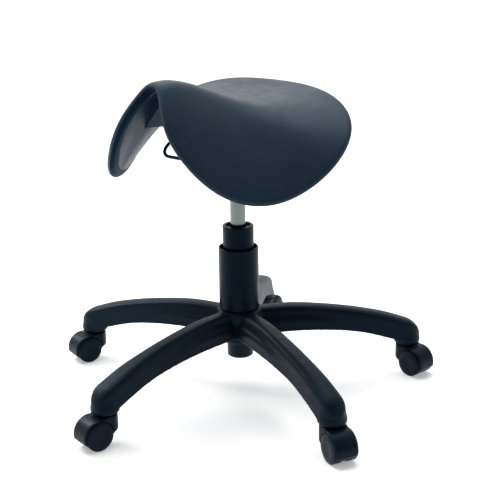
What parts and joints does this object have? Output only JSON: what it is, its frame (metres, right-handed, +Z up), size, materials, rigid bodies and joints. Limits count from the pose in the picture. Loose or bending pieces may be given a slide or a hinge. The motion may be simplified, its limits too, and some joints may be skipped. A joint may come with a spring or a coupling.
{
  "type": "dentist stool",
  "caption": "Saddle stool on a five-star castor base, with a gas lift, telescopic column sleeves and a rod loop height lever under the seat.",
  "frame": {"origin": "on the column's axis at floor level, under the middle of the castor circle", "axes": "+Z up along the column, the rider faces -Y, +X to the rider's left"},
  "size_m": [0.6962, 0.6981, 0.587],
  "materials": {
    "nylon": "fine moulded texture",
    "wheel_nylon": "smooth moulded",
    "cover": "smooth matt synthetic leather",
    "shell_gloss": "gloss moulded",
    "bright_tube": "ground and plated",
    "black_steel": "satin black enamel",
    "lever_enamel": "gloss black enamel",
    "plain_steel": "zinc plated",
    "acetal": "smooth",
    "valve_metal": "turned",
    "rubber": "matt"
  },
  "bodies": {
    "root": {"star_base": "nylon", "hub_ring": "plain_steel", "stand_tube": "black_steel", "guide_bush": "acetal", "inner_sleeve": "nylon", "outer_sleeve": "nylon", "bearing_lower_race": "plain_steel", "bearing_balls": "plain_steel", "bearing_cage": "acetal", "castor_1_grip_ring": "plain_steel", "castor_2_grip_ring": "plain_steel", "castor_3_grip_ring": "plain_steel", "castor_4_grip_ring": "plain_steel", "castor_5_grip_ring": "plain_steel"},
    "rod": {"piston_rod": "plain_steel", "piston": "valve_metal", "piston_seal": "rubber", "bearing_upper_race": "plain_steel", "bump_stop": "rubber", "foot_washer": "plain_steel", "retaining_clip": "plain_steel"},
    "seat": {"pressure_tube": "bright_tube", "rod_guide": "acetal", "valve_body": "valve_metal", "valve_spring": "plain_steel", "taper_cone": "black_steel", "lever_housing": "black_steel", "seat_plate": "black_steel", "plate_screws": "plain_steel", "seat_shell": "shell_gloss", "seat_cushion": "cover", "lever_pivot": "plain_steel"},
    "lever": {"lever_tongue": "lever_enamel", "lever_loop": "lever_enamel"},
    "release_pin": {"release_pin": "plain_steel"},
    "castor_1": {"castor_1_hood": "nylon", "castor_1_stem": "plain_steel", "castor_1_axle": "plain_steel"},
    "castor_1_wheel_a": {"castor_1_wheel_a": "wheel_nylon"},
    "castor_1_wheel_b": {"castor_1_wheel_b": "wheel_nylon"},
    "castor_2": {"castor_2_hood": "nylon", "castor_2_stem": "plain_steel", "castor_2_axle": "plain_steel"},
    "castor_2_wheel_a": {"castor_2_wheel_a": "wheel_nylon"},
    "castor_2_wheel_b": {"castor_2_wheel_b": "wheel_nylon"},
    "castor_3": {"castor_3_hood": "nylon", "castor_3_stem": "plain_steel", "castor_3_axle": "plain_steel"},
    "castor_3_wheel_a": {"castor_3_wheel_a": "wheel_nylon"},
    "castor_3_wheel_b": {"castor_3_wheel_b": "wheel_nylon"},
    "castor_4": {"castor_4_hood": "nylon", "castor_4_stem": "plain_steel", "castor_4_axle": "plain_steel"},
    "castor_4_wheel_a": {"castor_4_wheel_a": "wheel_nylon"},
    "castor_4_wheel_b": {"castor_4_wheel_b": "wheel_nylon"},
    "castor_5": {"castor_5_hood": "nylon", "castor_5_stem": "plain_steel", "castor_5_axle": "plain_steel"},
    "castor_5_wheel_a": {"castor_5_wheel_a": "wheel_nylon"},
    "castor_5_wheel_b": {"castor_5_wheel_b": "wheel_nylon"}
  },
  "joints": [
    {"name": "seat_swivel", "type": "hinge", "parent": "root", "child": "rod", "pos_m": [0, 0, 0.07], "axis": [0, 0, 1], "continuous": true},
    {"name": "seat_lift", "type": "slide", "parent": "rod", "child": "seat", "axis": [0, 0, 1], "range_m": [-0.112, 0.02]},
    {"name": "height_lever", "type": "hinge", "parent": "seat", "child": "lever", "pos_m": [0, -0.03, 0.475], "axis": [-1, 0, 0], "range_deg": [0, 8], "stiffness_Nm_per_rad": 1},
    {"name": "release_pin_travel", "type": "slide", "parent": "seat", "child": "release_pin", "axis": [0, 0, -1], "range_m": [0, 0.0042], "deforming": ["valve_spring"]},
    {"name": "castor_1_swivel", "type": "hinge", "parent": "root", "child": "castor_1", "pos_m": [0.29711, -0.11614, 0.06], "axis": [0, 0, 1], "continuous": true},
    {"name": "castor_1_wheel_a_spin", "type": "hinge", "parent": "castor_1", "child": "castor_1_wheel_a", "pos_m": [0.31885, -0.12582, 0.025], "axis": [0.4067, 0.9135, 0], "continuous": true},
    {"name": "castor_1_wheel_b_spin", "type": "hinge", "parent": "castor_1", "child": "castor_1_wheel_b", "pos_m": [0.31885, -0.12582, 0.025], "axis": [0.4067, 0.9135, 0], "continuous": true},
    {"name": "castor_2_swivel", "type": "hinge", "parent": "root", "child": "castor_2", "pos_m": [0.20226, 0.24668, 0.06], "axis": [0, 0, 1], "continuous": true},
    {"name": "castor_2_wheel_a_spin", "type": "hinge", "parent": "castor_2", "child": "castor_2_wheel_a", "pos_m": [0.22583, 0.24337, 0.025], "axis": [0.1392, 0.9903, 0], "continuous": true},
    {"name": "castor_2_wheel_b_spin", "type": "hinge", "parent": "castor_2", "child": "castor_2_wheel_b", "pos_m": [0.22583, 0.24337, 0.025], "axis": [0.1392, 0.9903, 0], "continuous": true},
    {"name": "castor_3_swivel", "type": "hinge", "parent": "root", "child": "castor_3", "pos_m": [-0.1721, 0.26859, 0.06], "axis": [0, 0, 1], "continuous": true},
    {"name": "castor_3_wheel_a_spin", "type": "hinge", "parent": "castor_3", "child": "castor_3_wheel_a", "pos_m": [-0.17541, 0.29216, 0.025], "axis": [-0.9903, -0.1392, 0], "continuous": true},
    {"name": "castor_3_wheel_b_spin", "type": "hinge", "parent": "castor_3", "child": "castor_3_wheel_b", "pos_m": [-0.17541, 0.29216, 0.025], "axis": [-0.9903, -0.1392, 0], "continuous": true},
    {"name": "castor_4_swivel", "type": "hinge", "parent": "root", "child": "castor_4", "pos_m": [-0.30863, -0.08068, 0.06], "axis": [0, 0, 1], "continuous": true},
    {"name": "castor_4_wheel_a_spin", "type": "hinge", "parent": "castor_4", "child": "castor_4_wheel_a", "pos_m": [-0.31439, -0.10377, 0.025], "axis": [0.9703, -0.2419, 0], "continuous": true},
    {"name": "castor_4_wheel_b_spin", "type": "hinge", "parent": "castor_4", "child": "castor_4_wheel_b", "pos_m": [-0.31439, -0.10377, 0.025], "axis": [0.9703, -0.2419, 0], "continuous": true},
    {"name": "castor_5_swivel", "type": "hinge", "parent": "root", "child": "castor_5", "pos_m": [-0.01864, -0.31845, 0.06], "axis": [0, 0, 1], "continuous": true},
    {"name": "castor_5_wheel_a_spin", "type": "hinge", "parent": "castor_5", "child": "castor_5_wheel_a", "pos_m": [-0.02277, -0.34189, 0.025], "axis": [0.9848, -0.1736, 0], "continuous": true},
    {"name": "castor_5_wheel_b_spin", "type": "hinge", "parent": "castor_5", "child": "castor_5_wheel_b", "pos_m": [-0.02277, -0.34189, 0.025], "axis": [0.9848, -0.1736, 0], "continuous": true}
  ],
  "couplings": [
    {"joint": "release_pin_travel", "follows": "height_lever", "m_per_rad": 0.03}
  ]
}
